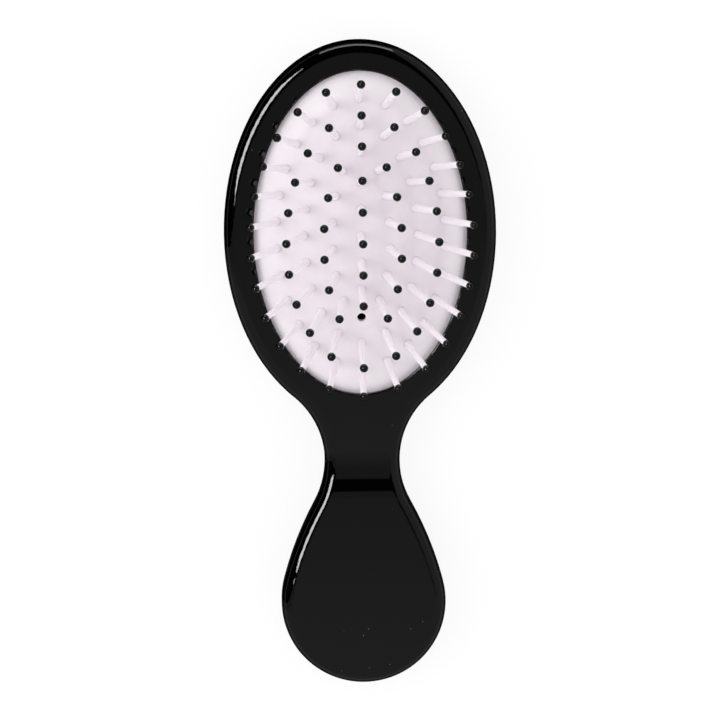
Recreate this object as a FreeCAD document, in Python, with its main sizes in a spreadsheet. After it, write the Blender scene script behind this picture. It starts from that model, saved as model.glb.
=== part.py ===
import FreeCAD, Part
import Sketcher
import math
import os

# A small oval air-cushion hair brush, lying on its back with the pins up.
# Z is up, the handle points to -Y, and every piece is built about the middle of the head.

doc = FreeCAD.newDocument("cushion_hair_brush")
sheet = doc.addObject("Spreadsheet::Sheet", "sizes")

SIZES = (
    ("head_half_width", 26.5, "half width of the oval head"),
    ("head_half_length", 37.31, "half length of the oval head"),
    ("rim_width", 5.82, "rim between the head's outline and the opening for the cushion"),
    ("neck_half_width", 7.36, "half width of the neck where it is narrowest"),
    ("neck_gap", 7.73, "bottom of the oval head to the narrowest place"),
    ("handle_length", 44.35, "narrowest place to the end of the handle"),
    ("neck_low_share", 0.55, "hollow curve from the neck to the handle, as a share of the widest that fits"),
    ("flank_radius", 70.0, "slow curve along the side of the handle"),
    ("handle_radius", 16.2, "round end of the handle"),
    ("parting_height", 5.2, "depth of the back shell"),
    ("tongue_height", 0.6, "how far the back shell's tongue enters the front shell"),
    ("ring_thickness", 1.4, "clamp ring"),
    ("flange_thickness", 1.4, "flange of the cushion"),
    ("lip_thickness", 1.2, "lip of the front shell over the flange"),
    ("handle_step", 0.45, "height of the step from the neck's face to the handle's face"),
    ("handle_rise", 1.1, "further rise of the handle's face from the step to its end"),
    ("step_gap", 5.4, "narrowest place to the steepest place of the step"),
    ("step_hollow", 7.2, "length of the hollow curve at the foot of the step"),
    ("step_round", 2.5, "length of the round curve at the top of the step"),
    ("edge_radius", 2.2, "rounding of the front edges"),
    ("back_radius", 4.6, "rounding of the back edges"),
    ("seam_chamfer", 0.2, "chamfer beside the seam"),
    ("window_radius", 0.15, "rounding of the opening's edge"),
    ("wall", 1.8, "wall and floor of the shells"),
    ("tongue_width", 1.4, "width of the tongue"),
    ("fit_gap", 0.1, "clearance of each fit"),
    ("ring_width", 2.6, "width of the clamp ring"),
    ("hollow_wall", 2.4, "side wall of the handle's hollow"),
    ("hollow_share", 0.549, "place of the hollow's narrow end, as a share from the neck to the round end"),
    ("hollow_taper", 0.4, "narrow end of the handle's hollow, as a share of its wide end"),
    ("post_diameter", 4.0, "posts that join the shells"),
    ("post_height", 2.4, "how far the posts enter the front shell"),
    ("post_wall", 1.5, "wall of the post sockets"),
    ("post_rise", 8.0, "first post above the middle of the round end"),
    ("post_drop", 6.0, "second post below the middle of the round end"),
    ("cushion_crown", 5.3, "rise of the cushion above its flange"),
    ("cushion_thickness", 1.2, "cushion wall"),
    ("vent_diameter", 1.7, "air hole in the cushion"),
    ("outer_share_width", 0.788, "half width of the outer ring of pins, as a share of the opening's"),
    ("outer_share_length", 0.8302, "half length of the outer ring of pins, as a share of the opening's"),
    ("ring_share_width", 0.2598, "ring to ring across, as a share of the opening's half width"),
    ("ring_share_length", 0.1605, "ring to ring along, as a share of the opening's half length"),
    ("row_share", 0.1655, "pins of the middle row, as a share of the opening's half length"),
    ("pin_length", 14.4, "cushion to the top of a tip"),
    ("pin_root_diameter", 1.5, "pin at the cushion"),
    ("pin_end_diameter", 1.1, "pin at its tip"),
    ("pin_head_diameter", 2.4, "head under the cushion"),
    ("pin_head_thickness", 0.7, "head under the cushion"),
    ("pin_gap", 0.05, "clearance of a pin in the cushion"),
    ("tip_diameter", 1.65, "ball on a pin's end"),
)
for row, (alias, number, meaning) in enumerate(SIZES, start=1):
    sheet.set("A%d" % row, meaning)
    sheet.set("B%d" % row, str(number))
    sheet.setAlias("B%d" % row, alias)
doc.recompute()

# Heights and insets that several pieces share, as expressions
FLANGE_FOOT = "(sizes.parting_height + sizes.tongue_height + sizes.ring_thickness)"
LIP_FOOT = "(%s + sizes.flange_thickness)" % FLANGE_FOOT
RIM = "(%s + sizes.lip_thickness)" % LIP_FOOT
HANDLE_FACE = "(%s + sizes.handle_step)" % RIM
HEAD_OFFSET = "(sizes.neck_gap + sizes.handle_length) / 2"
END_DISTANCE = "(sizes.head_half_length + sizes.neck_gap + sizes.handle_length - sizes.handle_radius)"


def size(alias):
    return float(sheet.get(alias))


flange_foot = size("parting_height") + size("tongue_height") + size("ring_thickness")
lip_foot = flange_foot + size("flange_thickness")
rim = lip_foot + size("lip_thickness")
handle_face = rim + size("handle_step")
neck_distance = size("head_half_length") + size("neck_gap")
end_gap = size("handle_length") - size("handle_radius")
end_distance = neck_distance + end_gap
window_half_width = size("head_half_width") - size("rim_width")
window_half_length = size("head_half_length") - size("rim_width")
up = FreeCAD.Vector(0, 0, 1)

# A block or a cut that another cut trims reaches this far past it
SPARE = 3.0
# Halvings after which a search by halves has settled
HALVINGS = 80
# Lengths that differ by less than this count as equal
EQUAL = 1e-4


def point(x, y, z=0.0):
    return FreeCAD.Vector(x, y, z)


def new_body(label):
    body = doc.addObject("PartDesign::Body", label)
    body.Label = label
    return body


def new_sketch(body, name, role, height=None):
    sketch = body.newObject("Sketcher::SketchObject", name)
    plane = [item for item in body.Origin.OriginFeatures if item.Role == role][0]
    sketch.AttachmentSupport = (plane, [""])
    sketch.MapMode = "FlatFace"
    if height:
        sketch.setExpression("AttachmentOffset.Base.z", height)
    return sketch


def new_pad(body, name, sketch, length):
    pad = body.newObject("PartDesign::Pad", name)
    pad.Profile = sketch
    pad.setExpression("Length", length)
    sketch.Visibility = False


def new_pocket(body, name, sketch, length, upward):
    pocket = body.newObject("PartDesign::Pocket", name)
    pocket.Profile = sketch
    pocket.Reversed = upward
    pocket.setExpression("Length", length)
    sketch.Visibility = False
    return pocket


def add_oval(sketch, half_width, half_length, width_rule, length_rule):
    """A full ellipse about the middle of the head, its length along Y."""
    oval = sketch.addGeometry(
        Part.Ellipse(point(0, half_length), point(-half_width, 0), point(0, 0)), False)
    sketch.exposeInternalGeometry(oval)
    length_line = oval + 1
    width_line = length_line + 1
    sketch.addConstraint(Sketcher.Constraint("Coincident", oval, 3, -1, 1))
    sketch.addConstraint(Sketcher.Constraint("Vertical", length_line))
    index = sketch.addConstraint(Sketcher.Constraint("Distance", length_line, 2 * half_length))
    sketch.setExpression("Constraints[%d]" % index, length_rule)
    index = sketch.addConstraint(Sketcher.Constraint("Distance", width_line, 2 * half_width))
    sketch.setExpression("Constraints[%d]" % index, width_rule)


def add_head_oval(sketch, inset, inset_rule):
    """An oval that keeps the same distance to the head's outline at both axes."""
    add_oval(
        sketch, size("head_half_width") - inset, size("head_half_length") - inset,
        "2 * (sizes.head_half_width - (%s))" % inset_rule,
        "2 * (sizes.head_half_length - (%s))" % inset_rule)


def add_circle(sketch, distance_rule, distance, diameter_rule, diameter):
    """A circle on the handle's middle line."""
    circle = sketch.addGeometry(Part.Circle(point(0, -distance), up, diameter / 2), False)
    sketch.addConstraint(Sketcher.Constraint("PointOnObject", circle, 3, -2))
    index = sketch.addConstraint(Sketcher.Constraint("DistanceY", circle, 3, -1, 1, distance))
    sketch.setExpression("Constraints[%d]" % index, distance_rule)
    index = sketch.addConstraint(Sketcher.Constraint("Diameter", circle, diameter))
    sketch.setExpression("Constraints[%d]" % index, diameter_rule)


def add_chain(sketch, steps):
    """Curves end to end in order, closed; each step is a curve and whether it runs forward."""
    indices = sketch.addGeometry([curve for curve, forward in steps], False)
    ends = [(1, 2) if forward else (2, 1) for curve, forward in steps]
    for place, index in enumerate(indices):
        following = (place + 1) % len(indices)
        leave = ends[place][1]
        enter = ends[following][0]
        sketch.addConstraint(Sketcher.Constraint("Coincident", index, leave, indices[following], enter))


def head_touch(centre_x, centre_y):
    """The nearest point of the head's lower right outline, as its angle from the bottom."""
    low = 0.0
    high = math.pi / 2
    for _ in range(HALVINGS):
        third = (high - low) / 3
        near = low + third
        far = high - third
        if head_gap(near, centre_x, centre_y) < head_gap(far, centre_x, centre_y):
            high = far
        else:
            low = near
    return (low + high) / 2


def head_gap(angle, centre_x, centre_y):
    x = size("head_half_width") * math.sin(angle)
    y = -size("head_half_length") * math.cos(angle)
    return math.hypot(x - centre_x, y - centre_y)


def neck_high_radius():
    """The radius of the hollow curve that touches both the neck's narrowest place and the head."""
    low = 0.0
    high = 10 * size("head_half_length")
    for _ in range(HALVINGS):
        radius = (low + high) / 2
        centre_x = size("neck_half_width") + radius
        angle = head_touch(centre_x, -neck_distance)
        if head_gap(angle, centre_x, -neck_distance) > radius:
            low = radius
        else:
            high = radius
    return (low + high) / 2


def neck_low_radius():
    """The hollow curve below the neck: a share of the one that would just touch the round end."""
    neck = size("neck_half_width")
    end = size("handle_radius")
    widest = (neck ** 2 + end_gap ** 2 - end ** 2) / (2 * (end - neck))
    return size("neck_low_share") * widest


def flank_centre(neck_x, neck_y):
    """The middle of the right flank's curve, which touches the low neck curve and the round end."""
    reach_end = size("flank_radius") - size("handle_radius")
    reach_neck = size("flank_radius") + neck_low_radius()
    end_y = -end_distance
    apart = math.hypot(neck_x, neck_y - end_y)
    along = (reach_end ** 2 - reach_neck ** 2 + apart ** 2) / (2 * apart)
    aside = math.sqrt(reach_end ** 2 - along ** 2)
    unit_x = neck_x / apart
    unit_y = (neck_y - end_y) / apart
    return point(along * unit_x - aside * unit_y, end_y + along * unit_y + aside * unit_x)


def arc(centre, radius, start, end):
    return Part.ArcOfCircle(Part.Circle(centre, up, radius), start, end)


def add_outline(sketch):
    """The brush seen from the front: oval head, waisted neck and drop-shaped handle."""
    half_width = size("head_half_width")
    half_length = size("head_half_length")
    neck = size("neck_half_width")
    neck_y = -neck_distance
    end = point(0, -end_distance)
    high_radius = neck_high_radius()
    low_radius = neck_low_radius()
    touch = head_touch(neck + high_radius, neck_y)
    touch_x = half_width * math.sin(touch)
    touch_y = -half_length * math.cos(touch)
    rise = math.atan2(touch_y - neck_y, neck + high_radius - touch_x)
    flank = flank_centre(neck + low_radius, neck_y)
    sink = math.atan2(neck_y - flank.y, neck + low_radius - flank.x)
    turn = math.atan2(end.y - flank.y, end.x - flank.x)
    mirror = point(-flank.x, flank.y)
    full = math.pi
    oval = Part.Ellipse(point(0, half_length), point(-half_width, 0), point(0, 0))
    high_left = arc(point(-neck - high_radius, neck_y), high_radius, 0, rise)
    low_left = arc(point(-neck - low_radius, neck_y), low_radius, -sink, 0)
    flank_left = arc(mirror, size("flank_radius"), full - sink, full - turn)
    low_right = arc(point(neck + low_radius, neck_y), low_radius, full, full + sink)
    high_right = arc(point(neck + high_radius, neck_y), high_radius, full - rise, full)
    # a hollow curve runs the other way round than the rest
    add_chain(sketch, [
        (Part.ArcOfEllipse(oval, touch - full, full - touch), True),
        (high_left, False),
        (low_left, False),
        (flank_left, True),
        (arc(end, size("handle_radius"), full - turn, 2 * full + turn), True),
        (arc(flank, size("flank_radius"), turn, sink), True),
        (low_right, False),
        (high_right, False),
    ])


def add_hollow(sketch):
    """The handle's hollow: two round ends joined by straight sides."""
    wide = size("handle_radius") - size("hollow_wall")
    narrow = size("hollow_taper") * wide
    top = -neck_distance - size("hollow_share") * end_gap
    bottom = -end_distance
    lean = math.asin((wide - narrow) / (top - bottom))
    cosine = math.cos(lean)
    sine = math.sin(lean)
    left_side = Part.LineSegment(
        point(-narrow * cosine, top + narrow * sine), point(-wide * cosine, bottom + wide * sine))
    right_side = Part.LineSegment(
        point(wide * cosine, bottom + wide * sine), point(narrow * cosine, top + narrow * sine))
    add_chain(sketch, [
        (arc(point(0, top), narrow, lean, math.pi - lean), True),
        (left_side, True),
        (arc(point(0, bottom), wide, math.pi - lean, 2 * math.pi + lean), True),
        (right_side, True),
    ])


def add_face_profile(sketch):
    """What is cut away above the brush's front, seen from the side: rim, step and rising handle."""
    steep_y = -neck_distance - size("step_gap")
    foot_y = steep_y + size("step_hollow")
    crest_y = steep_y - size("step_round")
    end_y = -neck_distance - size("handle_length")
    swing = 2 * math.atan2(size("handle_step"), foot_y - crest_y)
    slope = math.atan2(size("handle_rise"), crest_y - end_y)
    hollow_bend = size("step_hollow") / math.sin(swing)
    round_bend = size("step_round") / math.sin(swing)
    valley = arc(point(foot_y, rim + hollow_bend), hollow_bend, 1.5 * math.pi - swing, 1.5 * math.pi)
    crest = arc(
        point(crest_y, handle_face - round_bend), round_bend, 0.5 * math.pi - swing, 0.5 * math.pi - slope)
    far = 2 * end_distance
    rise_start = crest.EndPoint
    rise_end = point(-far, rise_start.y + (rise_start.x + far) * math.tan(slope))
    sky = rise_end.y + 2 * SPARE
    add_chain(sketch, [
        (Part.LineSegment(point(far, rim), point(foot_y, rim)), True),
        (valley, False),
        (crest, True),
        (Part.LineSegment(rise_start, rise_end), True),
        (Part.LineSegment(rise_end, point(-far, sky)), True),
        (Part.LineSegment(point(-far, sky), point(far, sky)), True),
        (Part.LineSegment(point(far, sky), point(far, rim)), True),
    ])


def hold_corner(sketch, side, kind, distance, rule):
    """Keeps the start of a side at a distance from the origin, across or up."""
    index = sketch.addConstraint(Sketcher.Constraint(kind, -1, 1, side, 1, distance))
    sketch.setExpression("Constraints[%d]" % index, rule)


def edge_names(shape, wanted):
    return ["Edge%d" % place for place, edge in enumerate(shape.Edges, start=1) if wanted(edge)]


def round_edges(body, kind, name, wanted, alias):
    """A fillet or chamfer on every edge of the body's last feature that wanted() accepts."""
    doc.recompute()
    base = body.Tip
    feature = body.newObject(kind, name)
    feature.Base = (base, edge_names(base.Shape, wanted))
    feature.setExpression("Radius" if kind.endswith("Fillet") else "Size", "sizes." + alias)


def at_height(height):
    return lambda edge: (
        abs(edge.BoundBox.ZMin - height) < EQUAL and abs(edge.BoundBox.ZMax - height) < EQUAL)


def on_front_edge(edge):
    return edge.BoundBox.ZMin > rim - EQUAL and not isinstance(edge.Curve, Part.Line)


def on_window_edge(edge):
    return at_height(rim)(edge) and abs(edge.BoundBox.XMax - window_half_width) < 10 * EQUAL


# Front shell: rim, neck and the face of the handle
front = new_body("front_shell")
sketch = new_sketch(front, "front_outline", "XY_Plane", "sizes.parting_height")
add_outline(sketch)
block_height = "%s + sizes.handle_rise + %g - sizes.parting_height" % (HANDLE_FACE, SPARE)
new_pad(front, "front_block", sketch, block_height)

sketch = new_sketch(front, "front_profile", "YZ_Plane")
add_face_profile(sketch)
pocket = new_pocket(front, "front_face", sketch, "4 * sizes.head_half_width", False)
pocket.SideType = "Symmetric"

round_edges(front, "PartDesign::Fillet", "front_rounding", on_front_edge, "edge_radius")
round_edges(
    front, "PartDesign::Chamfer", "front_seam", at_height(size("parting_height")), "seam_chamfer")

sketch = new_sketch(front, "front_chamber", "XY_Plane", "sizes.parting_height")
add_head_oval(sketch, size("wall"), "sizes.wall")
new_pocket(front, "front_chamber_cut", sketch, "%s - sizes.parting_height" % LIP_FOOT, True)

sketch = new_sketch(front, "window", "XY_Plane", "sizes.parting_height")
add_head_oval(sketch, size("rim_width"), "sizes.rim_width")
new_pocket(front, "window_cut", sketch, "%s + %g - sizes.parting_height" % (RIM, SPARE), True)
round_edges(front, "PartDesign::Fillet", "window_rounding", on_window_edge, "window_radius")

sketch = new_sketch(front, "front_hollow", "XY_Plane", "sizes.parting_height")
add_hollow(sketch)
depth = "%s - sizes.wall - sizes.parting_height" % HANDLE_FACE
new_pocket(front, "front_hollow_cut", sketch, depth, True)

post_places = (
    ("%s - sizes.post_rise" % END_DISTANCE, end_distance - size("post_rise")),
    ("%s + sizes.post_drop" % END_DISTANCE, end_distance + size("post_drop")),
)
sketch = new_sketch(front, "sockets", "XY_Plane", "sizes.parting_height")
for rule, distance in post_places:
    bore = size("post_diameter") + 2 * size("fit_gap")
    bore_rule = "sizes.post_diameter + 2 * sizes.fit_gap"
    add_circle(sketch, rule, distance, bore_rule, bore)
    add_circle(sketch, rule, distance, bore_rule + " + 2 * sizes.post_wall", bore + 2 * size("post_wall"))
new_pad(front, "sockets_tube", sketch, depth)
front.setExpression("Placement.Base.y", HEAD_OFFSET)

# Back shell: flat back, floor of the air chamber, tongue and posts
back = new_body("back_shell")
sketch = new_sketch(back, "back_outline", "XY_Plane")
add_outline(sketch)
new_pad(back, "back_block", sketch, "sizes.parting_height")
round_edges(back, "PartDesign::Fillet", "back_rounding", at_height(0.0), "back_radius")
round_edges(
    back, "PartDesign::Chamfer", "back_seam", at_height(size("parting_height")), "seam_chamfer")

sketch = new_sketch(back, "tongue", "XY_Plane", "sizes.parting_height")
add_head_oval(sketch, size("wall") + size("fit_gap"), "sizes.wall + sizes.fit_gap")
new_pad(back, "tongue_block", sketch, "sizes.tongue_height")

sketch = new_sketch(back, "back_chamber", "XY_Plane", "sizes.parting_height + sizes.tongue_height")
chamber = size("wall") + size("fit_gap") + size("tongue_width")
chamber_rule = "sizes.wall + sizes.fit_gap + sizes.tongue_width"
add_head_oval(sketch, chamber, chamber_rule)
new_pocket(
    back, "back_chamber_cut", sketch,
    "sizes.parting_height + sizes.tongue_height - sizes.wall", False)

sketch = new_sketch(back, "back_hollow", "XY_Plane", "sizes.parting_height")
add_hollow(sketch)
new_pocket(back, "back_hollow_cut", sketch, "sizes.parting_height - sizes.wall", False)

sketch = new_sketch(back, "posts", "XY_Plane", "sizes.wall")
for rule, distance in post_places:
    add_circle(sketch, rule, distance, "sizes.post_diameter", size("post_diameter"))
new_pad(back, "posts_rod", sketch, "sizes.parting_height + sizes.post_height - sizes.wall")
back.setExpression("Placement.Base.y", HEAD_OFFSET)

# Clamp ring: presses the cushion's flange against the lip
clamp = new_body("clamp_ring")
sketch = new_sketch(clamp, "clamp_outline", "XY_Plane", "sizes.parting_height + sizes.tongue_height")
clamp_inset = size("wall") + 2 * size("fit_gap")
clamp_rule = "sizes.wall + 2 * sizes.fit_gap"
add_head_oval(sketch, clamp_inset, clamp_rule)
add_head_oval(sketch, clamp_inset + size("ring_width"), clamp_rule + " + sizes.ring_width")
new_pad(clamp, "clamp_band", sketch, "sizes.ring_thickness")
clamp.setExpression("Placement.Base.y", HEAD_OFFSET)


def cushion_height(x, y):
    """Height of the cushion's outer face: a paraboloid that starts at the opening's edge."""
    share = (x / window_half_width) ** 2 + (y / window_half_length) ** 2
    return lip_foot + size("cushion_crown") * (1 - share)


def cushion_normal(x, y):
    slope_x = 2 * size("cushion_crown") * x / window_half_width ** 2
    slope_y = 2 * size("cushion_crown") * y / window_half_length ** 2
    return FreeCAD.Vector(slope_x, slope_y, 1).normalize()


def quarter_points(half_width, half_length, count):
    """Evenly spaced places on a quarter of an oval ring of count pins, from the top to the side."""
    steps = 2000
    lengths = [0.0]
    for step in range(steps):
        angle = (step + 0.5) / steps * math.pi / 2
        speed = math.hypot(half_width * math.cos(angle), half_length * math.sin(angle))
        lengths.append(lengths[-1] + speed * math.pi / 2 / steps)
    places = []
    for number in range(count // 4 + 1):
        wanted = lengths[-1] * 4 * number / count
        step = 0
        while step < steps and lengths[step] < wanted - EQUAL ** 2:
            step += 1
        angle = step / steps * math.pi / 2
        places.append((half_width * math.sin(angle), half_length * math.cos(angle)))
    return places


def mirrored(x, y):
    """A place and its mirror images in both middle lines."""
    across = (0.0,) if x < EQUAL else (-x, x)
    along = (0.0,) if y < EQUAL else (y, -y)
    return [(one, other) for other in along for one in across]


# Pins that stand at one height on the cushion form one group
groups = []
for name, number, count in (("outer", 0, 26), ("second", 1, 20), ("third", 2, 14)):
    half_width = (size("outer_share_width") - number * size("ring_share_width")) * window_half_width
    half_length = (size("outer_share_length") - number * size("ring_share_length")) * window_half_length
    for place, (x, y) in enumerate(quarter_points(half_width, half_length, count), start=1):
        spots = mirrored(x, y)
        if name == "third" and place == 1:
            # the air hole takes the lower place of this pair
            vent = spots[1]
            spots = spots[:1]
        groups.append(("%s_%d" % (name, place), spots))
row_pitch = size("row_share") * window_half_length
for place in range(3):
    groups.append(("middle_%d" % (place + 1), mirrored(0.0, place * row_pitch)))


def oval_prism(half_width, half_length, low, high):
    oval = Part.Ellipse(point(0, half_length, low), point(-half_width, 0, low), point(0, 0, low))
    return Part.Face(Part.Wire(oval.toShape())).extrude(point(0, 0, high - low))


def rod(spot, radius):
    """A cylinder square through the cushion at a place."""
    x, y = spot
    axis = cushion_normal(x, y)
    start = point(x, y, cushion_height(x, y)) - axis * (2 * size("cushion_thickness"))
    return Part.makeCylinder(radius, 4 * size("cushion_thickness"), start, axis)


# Cushion: a domed rubber wall with a flange, pierced for the pins and the air hole
wide = window_half_width
long = window_half_length
crown = size("cushion_crown")
patch = Part.BezierSurface()
patch.increase(2, 2)
reach = 1.1
above = 10 * rim
# the dome's edge and the flange overlap between these shares of the opening
flange_share = 0.96
dome_share = 1.02
for column, across in enumerate((-1, 0, 1)):
    for line, along in enumerate((-1, 0, 1)):
        drop = crown * reach ** 2
        height = lip_foot + crown + (drop if across == 0 else -drop) + (drop if along == 0 else -drop)
        patch.setPole(column + 1, line + 1, point(across * reach * wide, along * reach * long, height))
dome = patch.toShape().extrude(point(0, 0, -size("cushion_thickness")))
dome = dome.common(oval_prism(dome_share * wide, dome_share * long, 0, above))
flange_inset = size("wall") + 2 * size("fit_gap")
flange = oval_prism(
    size("head_half_width") - flange_inset, size("head_half_length") - flange_inset, flange_foot, lip_foot)
flange = flange.cut(oval_prism(flange_share * wide, flange_share * long, 0, above))
holes = [rod(vent, size("vent_diameter") / 2)]
for name, spots in groups:
    for spot in spots:
        holes.append(rod(spot, size("pin_root_diameter") / 2 + size("pin_gap")))
cushion = doc.addObject("Part::Feature", "cushion")
cushion.Shape = dome.fuse(flange).removeSplitter().cut(holes)
cushion.setExpression("Placement.Base.y", HEAD_OFFSET)

# One pin, its root at the cushion's face
pin = new_body("pin_pattern")
sketch = new_sketch(pin, "pin_profile", "XZ_Plane")
head_top = size("cushion_thickness") + size("pin_gap")
head_foot = head_top + size("pin_head_thickness")
collar = size("pin_root_diameter") / 2
tip_middle = size("pin_length") - size("tip_diameter") / 2
corners = (
    point(0, -head_foot),
    point(size("pin_head_diameter") / 2, -head_foot),
    point(size("pin_head_diameter") / 2, -head_top),
    point(collar, -head_top),
    point(collar, collar),
    point(size("pin_end_diameter") / 2, tip_middle),
    point(0, tip_middle),
)
sides = []
for place, corner in enumerate(corners):
    sides.append((Part.LineSegment(corner, corners[(place + 1) % len(corners)]), True))
add_chain(sketch, sides)
for side in (0, 2, 5):
    sketch.addConstraint(Sketcher.Constraint("Horizontal", side))
for side in (1, 3, 6):
    sketch.addConstraint(Sketcher.Constraint("Vertical", side))
sketch.addConstraint(Sketcher.Constraint("PointOnObject", 0, 1, -2))
HEAD_TOP = "sizes.cushion_thickness + sizes.pin_gap"
hold_corner(sketch, 1, "DistanceX", corners[1].x, "sizes.pin_head_diameter / 2")
hold_corner(sketch, 3, "DistanceX", collar, "sizes.pin_root_diameter / 2")
hold_corner(sketch, 5, "DistanceX", corners[5].x, "sizes.pin_end_diameter / 2")
hold_corner(sketch, 0, "DistanceY", -head_foot, "-(%s + sizes.pin_head_thickness)" % HEAD_TOP)
hold_corner(sketch, 2, "DistanceY", -head_top, "-(%s)" % HEAD_TOP)
hold_corner(sketch, 4, "DistanceY", collar, "sizes.pin_root_diameter / 2")
hold_corner(sketch, 5, "DistanceY", tip_middle, "sizes.pin_length - sizes.tip_diameter / 2")
turned = pin.newObject("PartDesign::Revolution", "pin_turned")
turned.Profile = sketch
turned.ReferenceAxis = (sketch, ["V_Axis"])
turned.Angle = 360

# One ball tip, with the socket that the pin's end fills
ball = doc.addObject("Part::Sphere", "tip_ball")
ball.setExpression("Radius", "sizes.tip_diameter / 2")
ball.setExpression("Placement.Base.z", "sizes.pin_length - sizes.tip_diameter / 2")
tip = doc.addObject("Part::Cut", "tip_pattern")
tip.Base = ball
tip.Tool = pin
doc.recompute()

parts = [front, back, clamp, cushion]
for name, spots in groups:
    ring, place = name.split("_")
    for pattern, word in ((pin, "pins"), (tip, "tips")):
        label = "%s_%s_%s" % (ring, word, place)
        links = []
        for number, (x, y) in enumerate(spots, start=1):
            link = doc.addObject("App::Link", "%s_copy_%d" % (label, number))
            link.LinkedObject = pattern
            turn = FreeCAD.Rotation(up, cushion_normal(x, y))
            link.Placement = FreeCAD.Placement(point(x, y, cushion_height(x, y)), turn)
            links.append(link)
        group = doc.addObject("Part::Compound", label)
        group.Links = links
        group.setExpression("Placement.Base.y", HEAD_OFFSET)
        parts.append(group)

doc.recompute()
for item in doc.Objects:
    if "Invalid" in item.State or "Error" in item.State:
        raise RuntimeError("%s did not build: %s" % (item.Label, item.State))
os.makedirs("parts", exist_ok=True)
for item in parts:
    shape = item.Shape
    if shape.isNull() or not shape.isValid():
        raise RuntimeError("%s has no valid shape" % item.Label)
    shape.exportStep("parts/%s.step" % item.Label)
    print("%-18s solids %2d  volume %9.2f mm3" % (item.Label, len(shape.Solids), shape.Volume))
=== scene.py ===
import math

import bpy
from bpy.props import FloatProperty, FloatVectorProperty, IntProperty, PointerProperty
from mathutils import Matrix, Vector


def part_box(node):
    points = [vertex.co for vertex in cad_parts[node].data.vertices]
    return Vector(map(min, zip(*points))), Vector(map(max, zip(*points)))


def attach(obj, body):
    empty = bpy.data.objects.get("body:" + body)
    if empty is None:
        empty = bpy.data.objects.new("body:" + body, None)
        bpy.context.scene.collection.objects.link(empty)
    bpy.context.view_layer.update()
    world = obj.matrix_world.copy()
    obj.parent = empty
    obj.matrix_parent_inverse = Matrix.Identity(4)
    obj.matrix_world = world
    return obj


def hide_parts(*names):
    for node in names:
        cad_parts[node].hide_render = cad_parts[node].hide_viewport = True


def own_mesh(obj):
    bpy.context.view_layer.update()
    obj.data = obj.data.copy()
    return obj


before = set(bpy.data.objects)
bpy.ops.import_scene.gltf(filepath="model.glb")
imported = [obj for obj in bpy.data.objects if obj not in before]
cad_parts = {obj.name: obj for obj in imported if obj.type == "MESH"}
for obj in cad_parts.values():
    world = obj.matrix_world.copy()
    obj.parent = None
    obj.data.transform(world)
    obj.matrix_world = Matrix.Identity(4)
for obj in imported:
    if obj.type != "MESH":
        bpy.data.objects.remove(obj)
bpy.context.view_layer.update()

bl_info = {
    "name": "Cushion hair brush",
    "version": (1, 0, 0),
    "blender": (4, 5, 0),
    "location": "3D View > Sidebar > Brush",
    "description": "Finishes for the packed hair brush, its rubber cushion and a small studio",
    "category": "Object",
}

MM = 0.001
CUSHION_LOW, CUSHION_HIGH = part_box("cushion")
HEAD_Y = (CUSHION_LOW.y + CUSHION_HIGH.y) / 2

# A place closer to a middle line than this, in metres, lies on it
ON_LINE = 1e-8
# Allowance for rounding when two lengths in metres are compared
ROUNDING = 1e-12
# Places in the middle row, from the head's middle to the row's end
ROW_PLACES = 3
# Length of the drill for the air hole, in thicknesses of the rubber
DRILL_WALLS = 6
# A collar from its foot to the pin: share of its width still to go, and share of its height reached
COLLAR_STEPS = ((0.55, 0.12), (0.3, 0.45), (0.18, 0.85), (0.08, 1.0), (0.0, 0.9))
# Share of its height by which a collar's foot dips into the cushion
COLLAR_DIP = 0.2
# Edges of the cushion that turn by less than this look smooth
SMOOTH_ANGLE = math.radians(50)

# Range that holds most of a noise texture's values
NOISE_SPAN = (0.3, 0.7)
WHOLE = (0.0, 1.0)

# Share of its own colour that the floor shows to the eye, for the shadow, and the glow that makes it white
FLOOR_SHADE = 0.17
FLOOR_GLOW = 0.87
# Between these distances the floor, as gloss shows it, goes from clear beside the brush to white
# The clear part is painted shade: there the shell's sides reflect the dark room below the floor, not the lit
# floor
PAINTED_SHADE_REACH = (0.1, 0.8)

# Borders of the room that gloss shows, as parts of a direction: x to the right, y towards the head, z up
NEAR_BORDER = (-0.059, -0.053)
LOW_BORDER = (-0.18, -0.11)
WALL_BORDER = (0.3, 0.42)
GROUND_FADE = (-0.6, 0.0)
HORIZON = (0.0, 0.05)
# How much the near and low borders turn towards the handle on the left, as a part of x
LEFT_TURN = 0.12
# Shares of the room's light this side of the near border, added past the low one, and left far below
NEAR_SHARE = 0.6
LOW_SHARE = 0.4
GROUND_SHARE = 0.05

# Each lamp: name, setting with its power, place, level and upright side, seen in gloss, lights matt
LAMPS = (
    ("key_softbox", "key_power", (-2.28, 0.935, 4.3), (1.94, 1.84), True, False),
    ("left_fill", "fill_power", (-0.75, 0.1, 0.6), (0.8, 0.8), False, True),
    ("front_fill", "front_power", (0.5, -0.7, 0.55), (0.8, 0.8), False, True),
    ("back_fill", "far_power", (0.35, 0.9, 0.45), (0.8, 0.8), False, True),
    ("back_strip", "back_power", (0.0, 1.05, 0.3), (0.9, 0.3), True, False),
)


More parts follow.
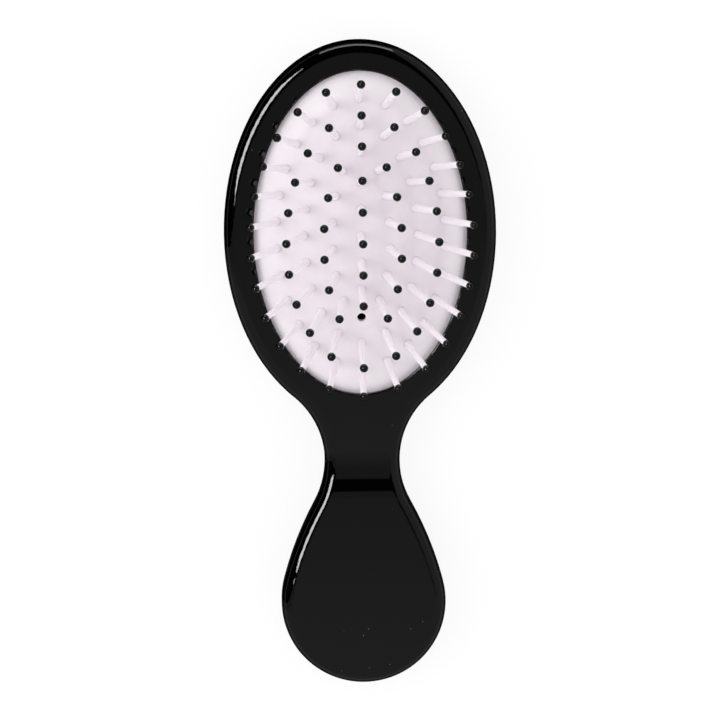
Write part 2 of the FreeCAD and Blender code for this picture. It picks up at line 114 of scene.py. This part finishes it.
class CushionSizes(bpy.types.PropertyGroup):
    """Sizes of the rubber cushion, as in the part's source."""
    flange_half_width: FloatProperty(
        name="Flange half width", description="Cushion's hidden edge, across",
        default=CUSHION_HIGH.x, unit="LENGTH")
    flange_half_length: FloatProperty(
        name="Flange half length", description="Cushion's hidden edge, along",
        default=CUSHION_HIGH.y - HEAD_Y, unit="LENGTH")
    lip_overlap: FloatProperty(
        name="Lip overlap", description="How far the flange reaches under the shell's lip",
        default=3.82 * MM, unit="LENGTH")
    crown: FloatProperty(
        name="Crown", description="Rise of the cushion above its flange", default=5.3 * MM, unit="LENGTH")
    flange_thickness: FloatProperty(
        name="Flange thickness", description="Height of the flange", default=1.4 * MM, unit="LENGTH")
    flange_round: FloatProperty(
        name="Flange rounding", description="Rounding of the flange's edge", default=0.15 * MM, unit="LENGTH")
    wall: FloatProperty(
        name="Wall", description="Thickness of the rubber", default=1.2 * MM, unit="LENGTH")
    rings: IntProperty(name="Rings", description="Rings of faces from edge to middle", default=22, min=6)
    segments: IntProperty(name="Segments", description="Faces around the edge", default=112, min=24)
    vent_radius: FloatProperty(
        name="Vent radius", description="Air hole in the lower half", default=0.85 * MM, unit="LENGTH")
    vent_sides: IntProperty(name="Vent sides", description="Faces around the air hole", default=40, min=8)
    press_depth: FloatProperty(
        name="Press depth", description="How far the middle sinks when the brush is pressed",
        default=3.6 * MM, unit="LENGTH")


class PinLayout(bpy.types.PropertyGroup):
    """Where the pins stand, as shares of the opening's half width and half length."""
    outer_share_width: FloatProperty(
        name="Outer ring across", description="Share of the opening's half width", default=0.788)
    outer_share_length: FloatProperty(
        name="Outer ring along", description="Share of the opening's half length", default=0.8302)
    ring_share_width: FloatProperty(
        name="Ring step across", description="Share of the opening's half width", default=0.2598)
    ring_share_length: FloatProperty(
        name="Ring step along", description="Share of the opening's half length", default=0.1605)
    row_share: FloatProperty(
        name="Middle row step", description="Share of the opening's half length", default=0.1655)
    outer_count: IntProperty(name="Outer pins", description="Pins in the outer ring", default=26)
    second_count: IntProperty(name="Second pins", description="Pins in the second ring", default=20)
    third_count: IntProperty(
        name="Third places", description="Pins and air hole in the third ring", default=14)
    collar_inner: FloatProperty(
        name="Collar inside", description="Radius where the rubber grips a pin",
        default=0.7 * MM, unit="LENGTH")
    collar_outer: FloatProperty(
        name="Collar outside", description="Radius where the collar meets the cushion",
        default=0.98 * MM, unit="LENGTH")
    collar_height: FloatProperty(
        name="Collar height", description="How far the rubber climbs a pin",
        default=0.12 * MM, unit="LENGTH")
    collar_sides: IntProperty(name="Collar sides", description="Faces around a collar", default=20, min=8)


class BrushColours(bpy.types.PropertyGroup):
    """Colours of the brush's finishes."""
    shell: FloatVectorProperty(
        name="Shell", description="Gloss black moulding", subtype="COLOR", default=(0.0005, 0.0005, 0.0006),
        min=0.0, max=1.0)
    dust: FloatVectorProperty(
        name="Dust", description="Fine specks on the shell", subtype="COLOR", default=(0.12, 0.12, 0.12),
        min=0.0, max=1.0)
    ring: FloatVectorProperty(
        name="Clamp ring", description="Grey moulding inside", subtype="COLOR", default=(0.35, 0.35, 0.36),
        min=0.0, max=1.0)
    rubber_light: FloatVectorProperty(
        name="Rubber, light", description="Lighter clouds of the cushion", subtype="COLOR",
        default=(0.865, 0.815, 0.85), min=0.0, max=1.0)
    rubber_dark: FloatVectorProperty(
        name="Rubber, dark", description="Darker clouds of the cushion", subtype="COLOR",
        default=(0.815, 0.76, 0.8), min=0.0, max=1.0)
    nylon: FloatVectorProperty(
        name="Nylon", description="Pins", subtype="COLOR", default=(0.93, 0.865, 0.905), min=0.0, max=1.0)
    tip: FloatVectorProperty(
        name="Tip", description="Gloss black balls", subtype="COLOR", default=(0.0004, 0.0004, 0.0004),
        min=0.0, max=1.0)


class StageSettings(bpy.types.PropertyGroup):
    """Camera, floor and lamps."""
    camera_place: FloatVectorProperty(
        name="Camera", description="Where the camera stands", subtype="TRANSLATION", unit="LENGTH",
        default=(-0.01811, 0.1003, 0.64957), precision=5)
    camera_target: FloatVectorProperty(
        name="Target", description="What the camera looks at", subtype="TRANSLATION", unit="LENGTH",
        default=(-0.00018, 0.00046, 0.0048), precision=5)
    camera_roll: FloatProperty(
        name="Roll", description="Turn of the picture", subtype="ANGLE", default=math.radians(-0.549))
    field_of_view: FloatProperty(
        name="Field of view", description="Across the square picture", subtype="ANGLE",
        default=math.radians(12.37))
    floor_size: FloatProperty(name="Floor", description="Side of the floor", default=30.0, unit="LENGTH")
    floor_colour: FloatVectorProperty(
        name="Floor colour", description="Pale floor", subtype="COLOR", default=(0.82, 0.82, 0.82),
        min=0.0, max=1.0)
    key_power: FloatProperty(
        name="Key", description="Softbox above on the left, seen in gloss", default=160.0, unit="POWER")
    fill_power: FloatProperty(
        name="Fill", description="Broad light from the left, for matt surfaces", default=3.3, unit="POWER")
    front_power: FloatProperty(
        name="Front", description="Broad light from the front, for matt surfaces", default=1.5, unit="POWER")
    far_power: FloatProperty(
        name="Far", description="Broad light from beyond the head, for matt surfaces",
        default=1.1, unit="POWER")
    back_power: FloatProperty(
        name="Back", description="Low strip beyond the head, seen in gloss", default=3.0, unit="POWER")
    room_light: FloatProperty(name="Room", description="Dim room, as gloss shows it", default=0.32)
    soft_light: FloatProperty(name="Soft light", description="Even light on matt surfaces", default=0.83)


def only_select(thing):
    """Leaves one object selected and active, in object mode."""
    bpy.ops.object.select_all(action="DESELECT")
    thing.select_set(True)
    bpy.context.view_layer.objects.active = thing


def settle(thing):
    """Puts an object's place, turn and size into its mesh."""
    only_select(thing)
    bpy.ops.object.transform_apply(location=True, rotation=True, scale=True)


def apply_modifier(thing, kind, name, **settings):
    """Adds a modifier with these settings and puts its result into the mesh."""
    only_select(thing)
    modifier = thing.modifiers.new(name, kind)
    for setting, value in settings.items():
        setattr(modifier, setting, value)
    bpy.ops.object.modifier_apply(modifier=name)


class OvalRing:
    """The last ring of an open mesh in edit mode, grown ring by ring about the head's middle line."""

    def __init__(self, half_width, half_length, height, segments):
        bpy.ops.object.select_all(action="DESELECT")
        bpy.ops.mesh.primitive_circle_add(
            vertices=segments, radius=half_width, fill_type="NOTHING", location=(0, HEAD_Y, height))
        bpy.ops.object.mode_set(mode="EDIT")
        bpy.ops.mesh.select_all(action="SELECT")
        bpy.ops.transform.resize(
            value=(1, half_length / half_width, 1), center_override=(0, HEAD_Y, height))
        self.place = (half_width, half_length, height)

    def grow(self, half_width, half_length, height):
        """Adds a ring of faces that ends at this oval."""
        last_width, last_length, last_height = self.place
        bpy.ops.mesh.extrude_edges_move(TRANSFORM_OT_translate={"value": (0, 0, height - last_height)})
        bpy.ops.transform.resize(
            value=(half_width / last_width, half_length / last_length, 1),
            center_override=(0, HEAD_Y, height))
        self.place = (half_width, half_length, height)

    def close(self, name):
        """Draws the last ring together in one point and leaves edit mode."""
        bpy.ops.mesh.extrude_edges_move(TRANSFORM_OT_translate={"value": (0, 0, 0)})
        bpy.ops.mesh.merge(type="CENTER")
        bpy.ops.mesh.select_all(action="SELECT")
        bpy.ops.mesh.remove_doubles(threshold=1e-7)
        bpy.ops.mesh.normals_make_consistent(inside=False)
        bpy.ops.object.mode_set(mode="OBJECT")
        thing = bpy.context.object
        thing.name = name
        thing.data.name = name
        return thing


def opening(sizes):
    """Half width and half length of the opening in the front shell."""
    return sizes.flange_half_width - sizes.lip_overlap, sizes.flange_half_length - sizes.lip_overlap


def lip_foot(sizes):
    """Height of the lip's lower face, where the dome starts."""
    return CUSHION_HIGH.z - sizes.crown


def dome_height(sizes, x, y):
    """Height of the cushion's face at a place about the head's middle."""
    half_width, half_length = opening(sizes)
    return lip_foot(sizes) + sizes.crown * (1 - (x / half_width) ** 2 - (y / half_length) ** 2)


def dome_normal(sizes, x, y):
    """Direction square to the cushion's face at a place about the head's middle."""
    half_width, half_length = opening(sizes)
    slope_x = 2 * sizes.crown * x / half_width ** 2
    slope_y = 2 * sizes.crown * y / half_length ** 2
    return Vector((slope_x, slope_y, 1)).normalized()


def quarter_places(half_width, half_length, count):
    """Evenly spaced places on a quarter of an oval ring, from the top to the side."""
    steps = 2000
    lengths = [0.0]
    for step in range(steps):
        angle = (step + 0.5) / steps * math.pi / 2
        speed = math.hypot(half_width * math.cos(angle), half_length * math.sin(angle))
        lengths.append(lengths[-1] + speed * math.pi / 2 / steps)
    places = []
    for number in range(count // 4 + 1):
        wanted = lengths[-1] * 4 * number / count
        step = 0
        while step < steps and lengths[step] < wanted - ROUNDING:
            step += 1
        angle = step / steps * math.pi / 2
        places.append((half_width * math.sin(angle), half_length * math.cos(angle)))
    return places


def mirrored(x, y):
    """A place and its mirror images in both middle lines."""
    across = (0.0,) if x < ON_LINE else (-x, x)
    along = (0.0,) if y < ON_LINE else (y, -y)
    return [(one, other) for other in along for one in across]


def pin_places(sizes, layout):
    """Where the pins leave the rubber, about the head's middle, and the place of the air hole."""
    half_width, half_length = opening(sizes)
    places = []
    for number, count in enumerate((layout.outer_count, layout.second_count, layout.third_count)):
        wide = (layout.outer_share_width - number * layout.ring_share_width) * half_width
        long = (layout.outer_share_length - number * layout.ring_share_length) * half_length
        for x, y in quarter_places(wide, long, count):
            places.extend(mirrored(x, y))
    for number in range(ROW_PLACES):
        places.extend(mirrored(0.0, number * layout.row_share * half_length))
    vent_y = -(layout.outer_share_length - 2 * layout.ring_share_length) * half_length
    vent = min(places, key=lambda place: math.hypot(place[0], place[1] - vent_y))
    places.remove(vent)
    return places, vent


def new_finish(name):
    """A new material, its node tree and its Principled shader."""
    finish = bpy.data.materials.new(name)
    finish.use_nodes = True
    tree = finish.node_tree
    return finish, tree, tree.nodes["Principled BSDF"]


def object_place(tree, stretch=(1, 1, 1), turn=(0, 0, 0)):
    """Object coordinates, stretched and turned by a Mapping node."""
    source = tree.nodes.new("ShaderNodeTexCoord")
    mapping = tree.nodes.new("ShaderNodeMapping")
    mapping.inputs["Scale"].default_value = stretch
    mapping.inputs["Rotation"].default_value = turn
    tree.links.new(source.outputs["Object"], mapping.inputs["Vector"])
    return mapping.outputs["Vector"]


def noise(tree, place, scale, detail=3.0, roughness=0.5):
    """Soft noise, with a scale in features per metre."""
    node = tree.nodes.new("ShaderNodeTexNoise")
    node.inputs["Scale"].default_value = scale
    node.inputs["Detail"].default_value = detail
    node.inputs["Roughness"].default_value = roughness
    tree.links.new(place, node.inputs["Vector"])
    return node.outputs["Fac"]


def spots(tree, place, scale):
    """Distance to the nearest of many scattered points."""
    node = tree.nodes.new("ShaderNodeTexVoronoi")
    node.inputs["Scale"].default_value = scale
    tree.links.new(place, node.inputs["Vector"])
    return node.outputs["Distance"]


def spread(tree, value, source, target):
    """Maps a value from the source range to the target range, held at the ends."""
    node = tree.nodes.new("ShaderNodeMapRange")
    for socket, number in zip(("From Min", "From Max", "To Min", "To Max"), (*source, *target)):
        node.inputs[socket].default_value = number
    tree.links.new(value, node.inputs["Value"])
    return node.outputs["Result"]


def combine(tree, operation, one, other):
    """A Math node on two values, each a socket or a number."""
    node = tree.nodes.new("ShaderNodeMath")
    node.operation = operation
    for socket, value in zip(node.inputs, (one, other)):
        if isinstance(value, (int, float)):
            socket.default_value = value
        else:
            tree.links.new(value, socket)
    return node.outputs["Value"]


def blend_colours(tree, share, one, other):
    """A colour between two, by a share that varies over the surface."""
    node = tree.nodes.new("ShaderNodeMix")
    node.data_type = "RGBA"
    node.inputs["A"].default_value = (*one, 1)
    node.inputs["B"].default_value = (*other, 1)
    tree.links.new(share, node.inputs["Factor"])
    return node.outputs["Result"]


def mix_shaders(tree, share, one, other):
    """One shader where the share is 0, the other where it is 1."""
    node = tree.nodes.new("ShaderNodeMixShader")
    for socket, value in zip(node.inputs, (share, one, other)):
        tree.links.new(value, socket)
    return node.outputs["Shader"]


def scaled(colour, share):
    """A colour times a number, held at white."""
    return tuple(min(1.0, share * part) for part in colour)


def even_normal(tree, radius):
    """Normals averaged over a small radius, so that the facets of a mesh don't fray what gloss shows."""
    node = tree.nodes.new("ShaderNodeBevel")
    node.samples = 8
    node.inputs["Radius"].default_value = radius
    return node.outputs["Normal"]


def relief(tree, shader, height, strength, distance, normal=None):
    """Bumps on a shader, over the mesh's own normals or over given ones."""
    node = tree.nodes.new("ShaderNodeBump")
    node.inputs["Strength"].default_value = strength
    node.inputs["Distance"].default_value = distance
    tree.links.new(height, node.inputs["Height"])
    if normal is not None:
        tree.links.new(normal, node.inputs["Normal"])
    tree.links.new(node.outputs["Normal"], shader.inputs["Normal"])


def gloss_shell(colours):
    """Polished black moulding with hairline scratches, fine dust and a trace of orange peel."""
    finish, tree, shader = new_finish("gloss_shell")
    place = object_place(tree)
    specks = spread(tree, spots(tree, place, scale=420.0), source=(0.035, 0.055), target=(1.0, 0.0))
    patches = spread(tree, noise(tree, place, scale=60.0), source=(0.5, 0.7), target=WHOLE)
    dust = combine(tree, "MULTIPLY", specks, patches)
    tree.links.new(blend_colours(tree, dust, colours.shell, colours.dust), shader.inputs["Base Color"])
    scratch_place = object_place(tree, stretch=(2600, 45, 2600), turn=(0, 0, 0.35))
    scratches = noise(tree, scratch_place, scale=1.0, detail=2.0)
    scratch_roughness = spread(tree, scratches, source=(0.66, 0.74), target=(0.0, 0.03))
    handling = noise(tree, place, scale=45.0, detail=4.0)
    roughness = spread(tree, handling, source=(0.35, 0.75), target=(0.02, 0.05))
    roughness = combine(tree, "ADD", roughness, scratch_roughness)
    most_dust_roughness = 0.3
    dust_roughness = combine(tree, "MULTIPLY", dust, most_dust_roughness)
    tree.links.new(combine(tree, "ADD", roughness, dust_roughness), shader.inputs["Roughness"])
    shader.inputs["IOR"].default_value = 1.5
    peel = noise(tree, place, scale=90.0, detail=1.0)
    normal = even_normal(tree, radius=0.5 * MM)
    relief(tree, shader, peel, strength=0.01, distance=0.01 * MM, normal=normal)
    return finish


def matt_ring(colours):
    """Plain grey moulding with a fine spark-eroded grain."""
    finish, tree, shader = new_finish("matt_ring")
    grain = noise(tree, object_place(tree), scale=2500.0, detail=2.0)
    darker = scaled(colours.ring, 0.9)
    tree.links.new(blend_colours(tree, grain, darker, colours.ring), shader.inputs["Base Color"])
    tree.links.new(spread(tree, grain, NOISE_SPAN, target=(0.5, 0.65)), shader.inputs["Roughness"])
    relief(tree, shader, grain, strength=0.1, distance=0.03 * MM)
    return finish


def satin_rubber(colours):
    """Soft pale rubber: faint clouds, a fine moulded grain and a little light inside."""
    finish, tree, shader = new_finish("satin_rubber")
    place = object_place(tree)
    clouds = noise(tree, place, scale=170.0, detail=4.0, roughness=0.6)
    shade = spread(tree, clouds, NOISE_SPAN, WHOLE)
    tree.links.new(
        blend_colours(tree, shade, colours.rubber_dark, colours.rubber_light), shader.inputs["Base Color"])
    grain = noise(tree, place, scale=3200.0, detail=3.0)
    tree.links.new(spread(tree, grain, NOISE_SPAN, target=(0.46, 0.6)), shader.inputs["Roughness"])
    shader.inputs["Specular IOR Level"].default_value = 0.35
    shader.inputs["Subsurface Weight"].default_value = 0.12
    shader.inputs["Subsurface Radius"].default_value = (1.0, 0.85, 0.9)
    shader.inputs["Subsurface Scale"].default_value = 0.8 * MM
    relief(tree, shader, grain, strength=0.12, distance=0.03 * MM)
    return finish


def clear_nylon(colours):
    """Milky nylon with faint drawing lines along the pins."""
    finish, tree, shader = new_finish("clear_nylon")
    milk = spread(tree, noise(tree, object_place(tree), scale=700.0, detail=3.0), NOISE_SPAN, WHOLE)
    paler = scaled(colours.nylon, 1.02)
    tree.links.new(blend_colours(tree, milk, colours.nylon, paler), shader.inputs["Base Color"])
    lines = noise(tree, object_place(tree, stretch=(3500, 3500, 250)), scale=1.0, detail=2.0)
    tree.links.new(spread(tree, lines, NOISE_SPAN, target=(0.36, 0.44)), shader.inputs["Roughness"])
    shader.inputs["Specular IOR Level"].default_value = 0.3
    shader.inputs["Subsurface Weight"].default_value = 1.0
    shader.inputs["Subsurface Radius"].default_value = (1.0, 0.94, 0.97)
    shader.inputs["Subsurface Scale"].default_value = 0.6 * MM
    relief(tree, shader, lines, strength=0.03, distance=0.01 * MM)
    return finish


def gloss_tip(colours):
    """Dipped black balls, glossy and slightly uneven."""
    finish, tree, shader = new_finish("gloss_tip")
    uneven = noise(tree, object_place(tree), scale=900.0, detail=2.0)
    lighter = scaled(colours.tip, 2.5)
    tree.links.new(blend_colours(tree, uneven, colours.tip, lighter), shader.inputs["Base Color"])
    tree.links.new(spread(tree, uneven, NOISE_SPAN, target=(0.01, 0.03)), shader.inputs["Roughness"])
    shader.inputs["Specular IOR Level"].default_value = 0.45
    relief(tree, shader, uneven, strength=0.02, distance=0.01 * MM)
    return finish


def dress(node, finish):
    """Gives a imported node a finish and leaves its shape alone."""
    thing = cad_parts[node]
    thing.material_slots[0].material = finish


def dress_all(word, finish):
    """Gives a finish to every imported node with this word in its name."""
    named = [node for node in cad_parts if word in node]
    if not named:
        raise RuntimeError("the packed model has no node with %s in its name" % word)
    for node in named:
        dress(node, finish)


class BRUSH_OT_shells(bpy.types.Operator):
    """Polish the two black shells"""
    bl_idname = "brush.shells"
    bl_label = "Dress shells"

    def execute(self, context):
        dress_all("_shell", gloss_shell(context.scene.brush_colours))
        return {"FINISHED"}


class BRUSH_OT_clamp(bpy.types.Operator):
    """Give the hidden clamp ring its grey finish"""
    bl_idname = "brush.clamp"
    bl_label = "Dress clamp ring"

    def execute(self, context):
        dress("clamp_ring", matt_ring(context.scene.brush_colours))
        return {"FINISHED"}


class BRUSH_OT_pins(bpy.types.Operator):
    """Give the pins their milky nylon"""
    bl_idname = "brush.pins"
    bl_label = "Dress pins"

    def execute(self, context):
        dress_all("_pins_", clear_nylon(context.scene.brush_colours))
        return {"FINISHED"}


class BRUSH_OT_tips(bpy.types.Operator):
    """Give the balls on the pins their black gloss"""
    bl_idname = "brush.tips"
    bl_label = "Dress tips"

    def execute(self, context):
        dress_all("_tips_", gloss_tip(context.scene.brush_colours))
        return {"FINISHED"}


def make_dome(sizes):
    """The cushion's outer face, grown inwards from the flange's foot, then given its wall."""
    half_width, half_length = opening(sizes)
    foot = lip_foot(sizes)
    edge = sizes.flange_round
    crease = 4 * edge
    ring = OvalRing(
        sizes.flange_half_width, sizes.flange_half_length, foot - sizes.flange_thickness, sizes.segments)
    ring.grow(sizes.flange_half_width, sizes.flange_half_length, foot - edge)
    ring.grow(sizes.flange_half_width - edge, sizes.flange_half_length - edge, foot)
    ring.grow(half_width + crease, half_length + crease, foot)
    for number in range(sizes.rings):
        share = 1 - number / sizes.rings
        ring.grow(share * half_width, share * half_length, foot + sizes.crown * (1 - share ** 2))
    dome = ring.close("rubber_cushion")
    apply_modifier(dome, "SUBSURF", "rounder", levels=1, render_levels=1)
    apply_modifier(dome, "SOLIDIFY", "wall", thickness=sizes.wall, offset=-1.0)
    return dome


def cut_vent(dome, sizes, vent):
    """The air hole, square through the rubber."""
    normal = dome_normal(sizes, *vent)
    bpy.ops.object.select_all(action="DESELECT")
    bpy.ops.mesh.primitive_cylinder_add(
        vertices=sizes.vent_sides, radius=sizes.vent_radius, depth=DRILL_WALLS * sizes.wall,
        location=(vent[0], HEAD_Y + vent[1], dome_height(sizes, *vent)),
        rotation=(math.atan2(-normal.y, normal.z), 0, 0))
    drill = bpy.context.object
    apply_modifier(dome, "BOOLEAN", "vent", operation="DIFFERENCE", object=drill, solver="EXACT")
    bpy.data.objects.remove(drill)


def make_collar(layout):
    """One collar of rubber drawn up around a pin, about the origin."""
    inner = layout.collar_inner
    outer = layout.collar_outer
    radius = outer
    level = -COLLAR_DIP * layout.collar_height
    bpy.ops.object.select_all(action="DESELECT")
    bpy.ops.mesh.primitive_circle_add(
        vertices=layout.collar_sides, radius=radius, fill_type="NOTHING", location=(0, 0, level))
    bpy.ops.object.mode_set(mode="EDIT")
    bpy.ops.mesh.select_all(action="SELECT")
    for reach, rise in COLLAR_STEPS:
        next_radius = inner + reach * (outer - inner)
        next_level = rise * layout.collar_height
        bpy.ops.mesh.extrude_edges_move(TRANSFORM_OT_translate={"value": (0, 0, next_level - level)})
        bpy.ops.transform.resize(
            value=(next_radius / radius, next_radius / radius, 1), center_override=(0, 0, next_level))
        radius = next_radius
        level = next_level
    bpy.ops.mesh.select_all(action="SELECT")
    bpy.ops.mesh.normals_make_consistent(inside=False)
    bpy.ops.object.mode_set(mode="OBJECT")
    settle(bpy.context.object)
    return bpy.context.object


def join_collars(dome, sizes, layout, places):
    """A copy of the collar at every pin, made one mesh with the dome."""
    collar = make_collar(layout)
    copies = []
    for x, y in places:
        copy = bpy.data.objects.new("collar", collar.data.copy())
        bpy.context.collection.objects.link(copy)
        turn = Vector((0, 0, 1)).rotation_difference(dome_normal(sizes, x, y))
        spot = Vector((x, HEAD_Y + y, dome_height(sizes, x, y)))
        copy.matrix_world = Matrix.LocRotScale(spot, turn, None)
        copies.append(copy)
    bpy.data.objects.remove(collar)
    only_select(dome)
    for copy in copies:
        copy.select_set(True)
    bpy.ops.object.join()


class BRUSH_OT_cushion(bpy.types.Operator):
    """Model the domed rubber cushion with its air hole and the collars around its pins"""
    bl_idname = "brush.cushion"
    bl_label = "Model cushion"

    def execute(self, context):
        sizes = context.scene.brush_cushion
        layout = context.scene.brush_layout
        places, vent = pin_places(sizes, layout)
        dome = make_dome(sizes)
        settle(dome)
        cut_vent(dome, sizes, vent)
        join_collars(dome, sizes, layout, places)
        settle(dome)
        bpy.ops.object.shade_smooth_by_angle(angle=SMOOTH_ANGLE)
        dome.data.materials.clear()
        dome.data.materials.append(satin_rubber(context.scene.brush_colours))
        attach(dome, "shell")
        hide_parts("cushion")
        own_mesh(dome)
        return {"FINISHED"}


def pale_floor(colour):
    """White to the eye, with a soft shadow; in gloss white too, but clear close to the brush, which paints
    shade into the shell's reflections there.
    """
    finish = bpy.data.materials.new("pale_floor")
    finish.use_nodes = True
    tree = finish.node_tree
    tree.nodes.clear()
    output = tree.nodes.new("ShaderNodeOutputMaterial")
    matt = tree.nodes.new("ShaderNodeBsdfDiffuse")
    matt.inputs["Color"].default_value = (*colour, 1)
    shadow = tree.nodes.new("ShaderNodeBsdfDiffuse")
    shadow.inputs["Color"].default_value = (*scaled(colour, FLOOR_SHADE), 1)
    glow = tree.nodes.new("ShaderNodeEmission")
    glow.inputs["Strength"].default_value = FLOOR_GLOW
    white = tree.nodes.new("ShaderNodeAddShader")
    tree.links.new(shadow.outputs["BSDF"], white.inputs[0])
    tree.links.new(glow.outputs["Emission"], white.inputs[1])
    clear = tree.nodes.new("ShaderNodeBsdfTransparent")
    ray = tree.nodes.new("ShaderNodeLightPath")
    # Painted shade: close to the brush, gloss sees through the floor to the dark room below
    far = spread(tree, ray.outputs["Ray Length"], PAINTED_SHADE_REACH, WHOLE)
    shown = combine(tree, "MAXIMUM", ray.outputs["Is Camera Ray"], far)
    seen = mix_shaders(tree, shown, clear.outputs["BSDF"], white.outputs["Shader"])
    by_eye = combine(tree, "MAXIMUM", ray.outputs["Is Camera Ray"], ray.outputs["Is Glossy Ray"])
    by_eye = combine(tree, "MAXIMUM", by_eye, ray.outputs["Is Transmission Ray"])
    surface = mix_shaders(tree, by_eye, matt.outputs["BSDF"], seen)
    tree.links.new(surface, output.inputs["Surface"])
    return finish


def set_room(scene, level, soft_light):
    """Even light for matt surfaces; gloss shows a dim room, dark beyond the head, with a white horizon."""
    world = bpy.data.worlds.new("room")
    world.use_nodes = True
    scene.world = world
    tree = world.node_tree
    background = tree.nodes["Background"]
    source = tree.nodes.new("ShaderNodeTexCoord")
    parts = tree.nodes.new("ShaderNodeSeparateXYZ")
    tree.links.new(source.outputs["Generated"], parts.inputs["Vector"])
    x, y, z = parts.outputs
    left = combine(tree, "MAXIMUM", combine(tree, "MULTIPLY", x, -LEFT_TURN), 0.0)
    lean = combine(tree, "ADD", y, left)
    near = spread(tree, lean, NEAR_BORDER, target=(NEAR_SHARE * level, 0.0))
    low = spread(tree, lean, LOW_BORDER, target=(LOW_SHARE * level, 0.0))
    wall = spread(tree, x, WALL_BORDER, target=(0.0, level))
    room = combine(tree, "MAXIMUM", combine(tree, "ADD", near, low), wall)
    room = combine(tree, "MULTIPLY", room, spread(tree, z, GROUND_FADE, target=(GROUND_SHARE, 1.0)))
    above = combine(tree, "GREATER_THAN", z, 0.0)
    horizon = combine(tree, "MULTIPLY", above, spread(tree, z, HORIZON, target=(1.0, 0.0)))
    room = combine(tree, "MAXIMUM", room, horizon)
    ray = tree.nodes.new("ShaderNodeLightPath")
    strength = tree.nodes.new("ShaderNodeMix")
    strength.inputs["A"].default_value = soft_light
    tree.links.new(room, strength.inputs["B"])
    tree.links.new(ray.outputs["Is Glossy Ray"], strength.inputs["Factor"])
    tree.links.new(strength.outputs["Result"], background.inputs["Strength"])
    background.inputs["Color"].default_value = (1, 1, 1, 1)


def add_panel(name, place, size, power, in_gloss, on_matt):
    """A rectangular lamp that faces the brush; the first side of size lies level."""
    spot = Vector(place)
    lamp = bpy.data.lights.new(name, "AREA")
    lamp.shape = "RECTANGLE"
    lamp.size, lamp.size_y = size
    lamp.energy = power
    holder = bpy.data.objects.new(name, lamp)
    bpy.context.collection.objects.link(holder)
    holder.location = spot
    holder.rotation_euler = (-spot).to_track_quat("-Z", "Y").to_euler()
    holder.visible_camera = False
    holder.visible_glossy = in_gloss
    holder.visible_diffuse = on_matt


def aim_camera(scene, stage):
    """The camera at the photograph's angle, the head towards the top of the picture."""
    camera = bpy.data.cameras.new("camera")
    camera.sensor_fit = "HORIZONTAL"
    camera.angle = stage.field_of_view
    camera.clip_start = 0.01
    camera.clip_end = 100.0
    holder = bpy.data.objects.new("camera", camera)
    bpy.context.collection.objects.link(holder)
    place = Vector(stage.camera_place)
    ahead = (Vector(stage.camera_target) - place).normalized()
    right = ahead.cross(Vector((0, 1, 0))).normalized()
    upward = right.cross(ahead)
    turn = Matrix((right, upward, -ahead)).transposed()
    turn = turn @ Matrix.Rotation(stage.camera_roll, 3, "Z")
    holder.matrix_world = Matrix.Translation(place) @ turn.to_4x4()
    scene.camera = holder


class BRUSH_OT_stage(bpy.types.Operator):
    """Set the floor, the lamps, the room and the camera"""
    bl_idname = "brush.stage"
    bl_label = "Set stage"

    def execute(self, context):
        scene = context.scene
        stage = scene.brush_stage
        bpy.ops.object.select_all(action="DESELECT")
        bpy.ops.mesh.primitive_plane_add(size=stage.floor_size, location=(0, 0, 0))
        floor = context.object
        floor.name = "floor"
        floor.data.materials.append(pale_floor(stage.floor_colour))
        set_room(scene, stage.room_light, stage.soft_light)
        for name, setting, place, size, in_gloss, on_matt in LAMPS:
            add_panel(name, place, size, getattr(stage, setting), in_gloss, on_matt)
        aim_camera(scene, stage)
        scene.view_settings.view_transform = "Standard"
        return {"FINISHED"}


class BRUSH_PT_panel(bpy.types.Panel):
    """Steps and settings of the brush, in the order of making"""
    bl_idname = "BRUSH_PT_panel"
    bl_label = "Cushion hair brush"
    bl_space_type = "VIEW_3D"
    bl_region_type = "UI"
    bl_category = "Brush"

    def draw(self, context):
        scene = context.scene
        for operator in OPERATORS:
            self.layout.operator(operator.bl_idname)
        for group in (scene.brush_cushion, scene.brush_layout, scene.brush_colours, scene.brush_stage):
            box = self.layout.box()
            for name in group.__annotations__:
                box.prop(group, name)


OPERATORS = (
    BRUSH_OT_shells,
    BRUSH_OT_clamp,
    BRUSH_OT_cushion,
    BRUSH_OT_pins,
    BRUSH_OT_tips,
    BRUSH_OT_stage,
)
GROUPS = (CushionSizes, PinLayout, BrushColours, StageSettings)


def register():
    for item in (*GROUPS, *OPERATORS, BRUSH_PT_panel):
        bpy.utils.register_class(item)
    bpy.types.Scene.brush_cushion = PointerProperty(type=CushionSizes)
    bpy.types.Scene.brush_layout = PointerProperty(type=PinLayout)
    bpy.types.Scene.brush_colours = PointerProperty(type=BrushColours)
    bpy.types.Scene.brush_stage = PointerProperty(type=StageSettings)


def unregister():
    del bpy.types.Scene.brush_stage
    del bpy.types.Scene.brush_colours
    del bpy.types.Scene.brush_layout
    del bpy.types.Scene.brush_cushion
    for item in reversed((*GROUPS, *OPERATORS, BRUSH_PT_panel)):
        bpy.utils.unregister_class(item)


def main():
    register()
    bpy.ops.brush.shells()
    bpy.ops.brush.clamp()
    bpy.ops.brush.cushion()
    bpy.ops.brush.pins()
    bpy.ops.brush.tips()
    bpy.ops.brush.stage()


if __name__ == "__main__":
    main()
